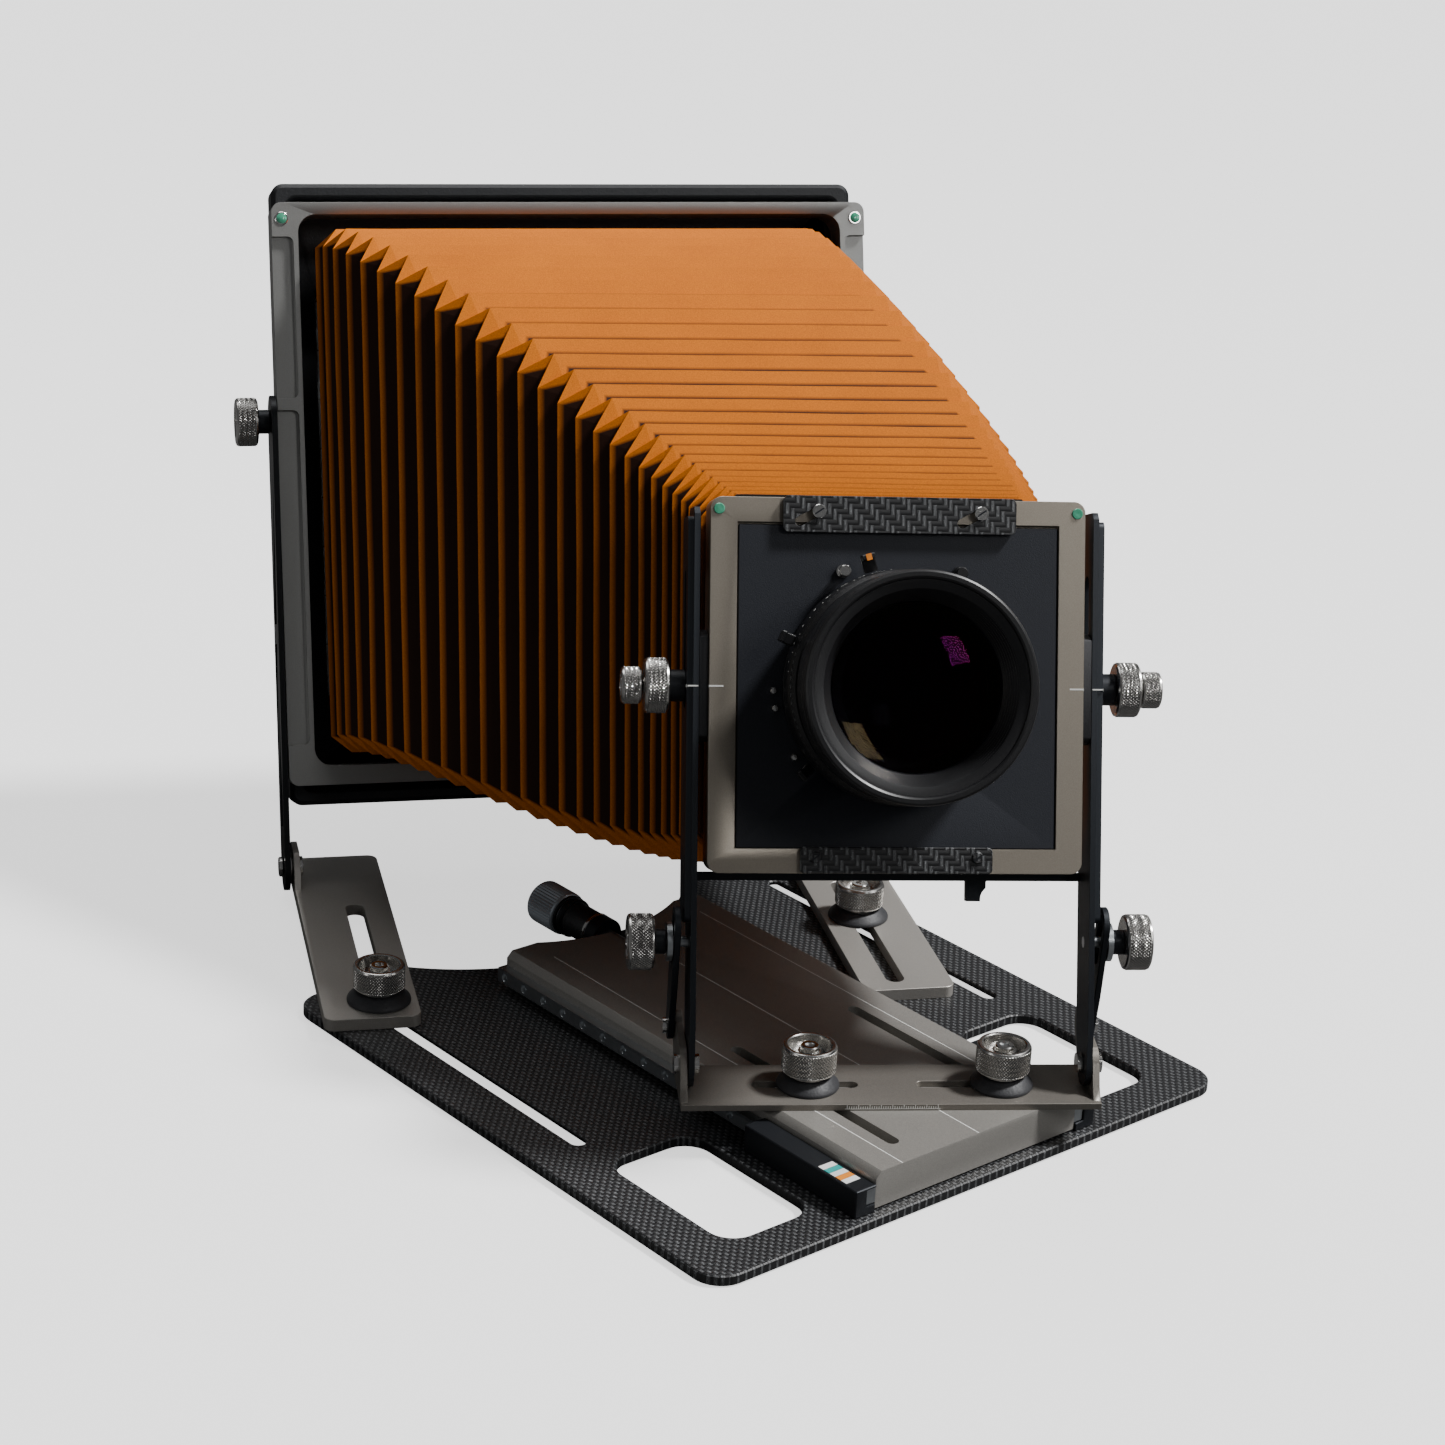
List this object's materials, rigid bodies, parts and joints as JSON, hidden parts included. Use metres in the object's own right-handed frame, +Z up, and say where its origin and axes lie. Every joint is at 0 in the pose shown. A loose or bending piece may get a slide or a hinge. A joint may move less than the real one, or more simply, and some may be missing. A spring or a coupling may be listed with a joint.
{
  "type": "view camera",
  "caption": "Large-format view camera with pleated square bellows, geared sliding bed, swinging and tilting standards and a lens in a leaf shutter on a square board.",
  "frame": {"origin": "mouth of the tripod socket, in the middle of the base plate's flat underside", "axes": "+Z up out of the base plate, +Y to the rear along the bed, +X to the viewer's right as seen from the lens side; the lens looks towards -Y and is swung to -X at rest"},
  "size_m": [0.4051, 0.5501, 0.3376],
  "materials": {
    "carbon": "plain-weave carbon-fibre laminate under satin lacquer",
    "black_anodised": "matt black anodised aluminium with a faint blue cast",
    "bronze_anodised": "fine bead-blasted titanium-bronze anodised aluminium",
    "champagne_anodised": "fine bead-blasted champagne anodised aluminium",
    "grey_anodised": "fine bead-blasted grey anodised aluminium",
    "knurled_steel": "polished stainless steel with diamond knurling",
    "rail_steel": "ground guide-rail steel",
    "bright_screw": "bright plated screws",
    "washer_black": "pressed black fibre washers with a grained face",
    "ribbed_alloy": "pale blue-grey ribbed alloy",
    "brass": "machined brass",
    "board_black": "fine textured slate-black anodised plate",
    "shutter_black": "semi-matt black lacquer",
    "lens_glass": "multi-coated optical glass with violet and teal reflections",
    "blade_steel": "blackened spring steel",
    "green_vial": "green spirit level under clear resin",
    "back_black": "black grained finish",
    "frosted_glass": "ground glass",
    "spring_steel": "flat spring steel",
    "bellows_orange": "orange pleated bellows cloth, synthetic leather over card stiffeners"
  },
  "bodies": {
    "base": {"base_plate": "carbon", "tripod_bush": "rail_steel", "guide_blocks": "black_anodised", "screw_bracket": "black_anodised"},
    "bed": {"sliding_bed": "bronze_anodised", "bed_rails": "rail_steel", "lead_nut": "brass"},
    "focus_drive": {"focus_knob": "ribbed_alloy", "lead_screw": "black_anodised"},
    "front_slider": {"front_slide_bolt": "rail_steel"},
    "front_knob_left": {"front_knob_left": "knurled_steel"},
    "front_knob_right": {"front_knob_right": "knurled_steel"},
    "front_base": {"front_base_plate": "bronze_anodised", "front_washers": "washer_black", "front_stud_right": "rail_steel", "ear_screws": "bright_screw"},
    "struts": {"tilt_struts": "black_anodised"},
    "posts": {"front_posts": "black_anodised", "post_crossbar": "black_anodised", "strut_studs": "rail_steel"},
    "strut_knob_left": {"strut_knob_left": "knurled_steel"},
    "strut_knob_right": {"strut_knob_right": "knurled_steel"},
    "rise_carriage": {"axis_shafts": "black_anodised", "friction_discs": "black_anodised"},
    "axis_knob_left": {"axis_knob_left": "knurled_steel"},
    "axis_knob_right": {"axis_knob_right": "knurled_steel"},
    "rise_knob_left": {"rise_knob_left": "knurled_steel"},
    "rise_knob_right": {"rise_knob_right": "knurled_steel"},
    "lens_standard": {"lens_frame": "champagne_anodised", "latch_screws": "bright_screw", "bottom_clip": "carbon", "level_vials": "green_vial", "lens_board": "board_black", "shutter_body": "shutter_black", "lens_barrel": "shutter_black", "rear_cell": "shutter_black", "front_glass": "lens_glass", "rear_glass": "lens_glass", "iris_blades": "blade_steel"},
    "board_latch": {"board_latch": "carbon"},
    "speed_ring": {"speed_ring": "shutter_black"},
    "aperture_lever": {"aperture_lever": "shutter_black"},
    "cocking_lever": {"cocking_lever": "shutter_black"},
    "release_lever": {"release_lever": "shutter_black"},
    "rear_slider": {"rear_slide_bolt": "rail_steel"},
    "foot_knob_left": {"foot_knob_left": "knurled_steel"},
    "foot_knob_right": {"foot_knob_right": "knurled_steel"},
    "rear_base": {"rear_feet": "grey_anodised", "foot_washers": "washer_black", "foot_stud_right": "rail_steel", "foot_bolts": "bright_screw"},
    "rear_arms": {"rear_arms": "black_anodised"},
    "rear_standard": {"rear_frame": "grey_anodised", "back_frame": "back_black", "bellows": "bellows_orange"},
    "spring_back": {"glass_frame": "back_black", "ground_glass": "frosted_glass", "back_springs": "spring_steel"},
    "rear_knob_left": {"rear_axis_knob_left": "knurled_steel"},
    "rear_knob_right": {"rear_axis_knob_right": "knurled_steel"}
  },
  "joints": [
    {"name": "focus_travel", "type": "slide", "parent": "base", "child": "bed", "axis": [0, 1, 0], "range_m": [-0.06, 0.005]},
    {"name": "focus_knob_turn", "type": "hinge", "parent": "base", "child": "focus_drive", "pos_m": [0, 0.14, 0.015], "axis": [0, 1, 0], "range_deg": [-5445, 495]},
    {"name": "front_extension", "type": "slide", "parent": "bed", "child": "front_slider", "axis": [0, 1, 0], "range_m": [-0.005, 0.045]},
    {"name": "front_swing", "type": "hinge", "parent": "front_slider", "child": "front_base", "pos_m": [-0.03547, -0.07721, 0.023], "axis": [0, 0, 1], "range_deg": [-10, 38]},
    {"name": "front_clamp_left_turn", "type": "hinge", "parent": "front_slider", "child": "front_knob_left", "pos_m": [-0.03547, -0.07721, 0.039], "axis": [0, 0, 1], "range_deg": [-120, 240]},
    {"name": "front_clamp_right_turn", "type": "hinge", "parent": "front_base", "child": "front_knob_right", "pos_m": [0.03548, -0.12616, 0.039], "axis": [0, 0, 1], "range_deg": [-120, 240]},
    {"name": "front_base_tilt", "type": "hinge", "parent": "front_base", "child": "posts", "pos_m": [-0.0065, -0.0972, 0.0365], "axis": [0.8231, -0.5678, 0], "range_deg": [-12, 21]},
    {"name": "strut_swing", "type": "hinge", "parent": "front_base", "child": "struts", "pos_m": [0.00826, -0.0758, 0.042], "axis": [0.8231, -0.5678, 0], "range_deg": [-12.5, 21.5]},
    {"name": "strut_clamp_left_turn", "type": "hinge", "parent": "posts", "child": "strut_knob_left", "pos_m": [-0.08622, -0.01904, 0.08617], "axis": [0.8231, -0.5678, 0], "range_deg": [-120, 240]},
    {"name": "strut_clamp_right_turn", "type": "hinge", "parent": "posts", "child": "strut_knob_right", "pos_m": [0.09487, -0.14397, 0.08617], "axis": [0.8231, -0.5678, 0], "range_deg": [-120, 240]},
    {"name": "front_rise", "type": "slide", "parent": "posts", "child": "rise_carriage", "axis": [0.2035, 0.295, 0.9336], "range_m": [-0.004, 0.045]},
    {"name": "front_axis_tilt", "type": "hinge", "parent": "rise_carriage", "child": "lens_standard", "pos_m": [0.027, -0.04865, 0.19017], "axis": [0.8231, -0.5678, 0], "range_deg": [-12, 12]},
    {"name": "axis_clamp_left_turn", "type": "hinge", "parent": "rise_carriage", "child": "axis_knob_left", "pos_m": [-0.05861, 0.01041, 0.19017], "axis": [0.8231, -0.5678, 0], "range_deg": [-120, 240]},
    {"name": "rise_clamp_left_turn", "type": "hinge", "parent": "rise_carriage", "child": "rise_knob_left", "pos_m": [-0.06767, 0.01666, 0.19017], "axis": [0.8231, -0.5678, 0], "range_deg": [-120, 240]},
    {"name": "axis_clamp_right_turn", "type": "hinge", "parent": "rise_carriage", "child": "axis_knob_right", "pos_m": [0.1126, -0.1077, 0.19017], "axis": [0.8231, -0.5678, 0], "range_deg": [-120, 240]},
    {"name": "rise_clamp_right_turn", "type": "hinge", "parent": "rise_carriage", "child": "rise_knob_right", "pos_m": [0.12166, -0.11395, 0.19017], "axis": [0.8231, -0.5678, 0], "range_deg": [-120, 240]},
    {"name": "latch_slide", "type": "slide", "parent": "lens_standard", "child": "board_latch", "axis": [0.8223, -0.3629, 0.4383], "range_m": [0, 0.0078]},
    {"name": "speed_ring_turn", "type": "hinge", "parent": "lens_standard", "child": "speed_ring", "pos_m": [0.01109, -0.0717, 0.20092], "axis": [-0.5301, -0.7685, 0.3584], "range_deg": [-60, 60]},
    {"name": "aperture_lever_turn", "type": "hinge", "parent": "lens_standard", "child": "aperture_lever", "pos_m": [0.01109, -0.0717, 0.20092], "axis": [-0.5301, -0.7685, 0.3584], "range_deg": [0, 50]},
    {"name": "cocking_lever_turn", "type": "hinge", "parent": "lens_standard", "child": "cocking_lever", "pos_m": [0.01109, -0.0717, 0.20092], "axis": [-0.5301, -0.7685, 0.3584], "range_deg": [0, 25]},
    {"name": "release_lever_turn", "type": "hinge", "parent": "lens_standard", "child": "release_lever", "pos_m": [0.01109, -0.0717, 0.20092], "axis": [-0.5301, -0.7685, 0.3584], "range_deg": [0, 8], "stiffness_Nm_per_rad": 0.05},
    {"name": "rear_extension", "type": "slide", "parent": "base", "child": "rear_slider", "axis": [0, 1, 0], "range_m": [-0.05, 0.004]},
    {"name": "rear_swing", "type": "hinge", "parent": "rear_slider", "child": "rear_base", "pos_m": [-0.12497, 0.12218, 0.005], "axis": [0, 0, 1], "range_deg": [-1, 28]},
    {"name": "foot_clamp_left_turn", "type": "hinge", "parent": "rear_slider", "child": "foot_knob_left", "pos_m": [-0.12497, 0.12218, 0.021], "axis": [0, 0, 1], "range_deg": [-120, 240]},
    {"name": "foot_clamp_right_turn", "type": "hinge", "parent": "rear_base", "child": "foot_knob_right", "pos_m": [0.12458, 0.06375, 0.021], "axis": [0, 0, 1], "range_deg": [-120, 240]},
    {"name": "rear_base_tilt", "type": "hinge", "parent": "rear_base", "child": "rear_arms", "pos_m": [0.05132, 0.19067, 0.0168], "axis": [0.8846, -0.4664, 0], "range_deg": [-8, 20]},
    {"name": "rear_axis_tilt", "type": "hinge", "parent": "rear_arms", "child": "rear_standard", "pos_m": [0.08367, 0.25202, 0.22889], "axis": [0.8846, -0.4664, 0], "range_deg": [-8, 8], "deforming": ["bellows"]},
    {"name": "rear_clamp_left_turn", "type": "hinge", "parent": "rear_standard", "child": "rear_knob_left", "pos_m": [-0.06229, 0.32897, 0.22889], "axis": [0.8846, -0.4664, 0], "range_deg": [-120, 240]},
    {"name": "rear_clamp_right_turn", "type": "hinge", "parent": "rear_standard", "child": "rear_knob_right", "pos_m": [0.22962, 0.17506, 0.22889], "axis": [0.8846, -0.4664, 0], "range_deg": [-120, 240]},
    {"name": "spring_back_lift", "type": "slide", "parent": "rear_standard", "child": "spring_back", "axis": [0.4385, 0.8318, -0.3404], "range_m": [0, 0.015], "stiffness_N_per_m": 700, "springref_m": -0.02}
  ],
  "couplings": [
    {"joint": "focus_knob_turn", "follows": "focus_travel", "rad_per_m": 1570.8},
    {"joint": "strut_swing", "follows": "front_base_tilt", "ratio": 0.99}
  ]
}
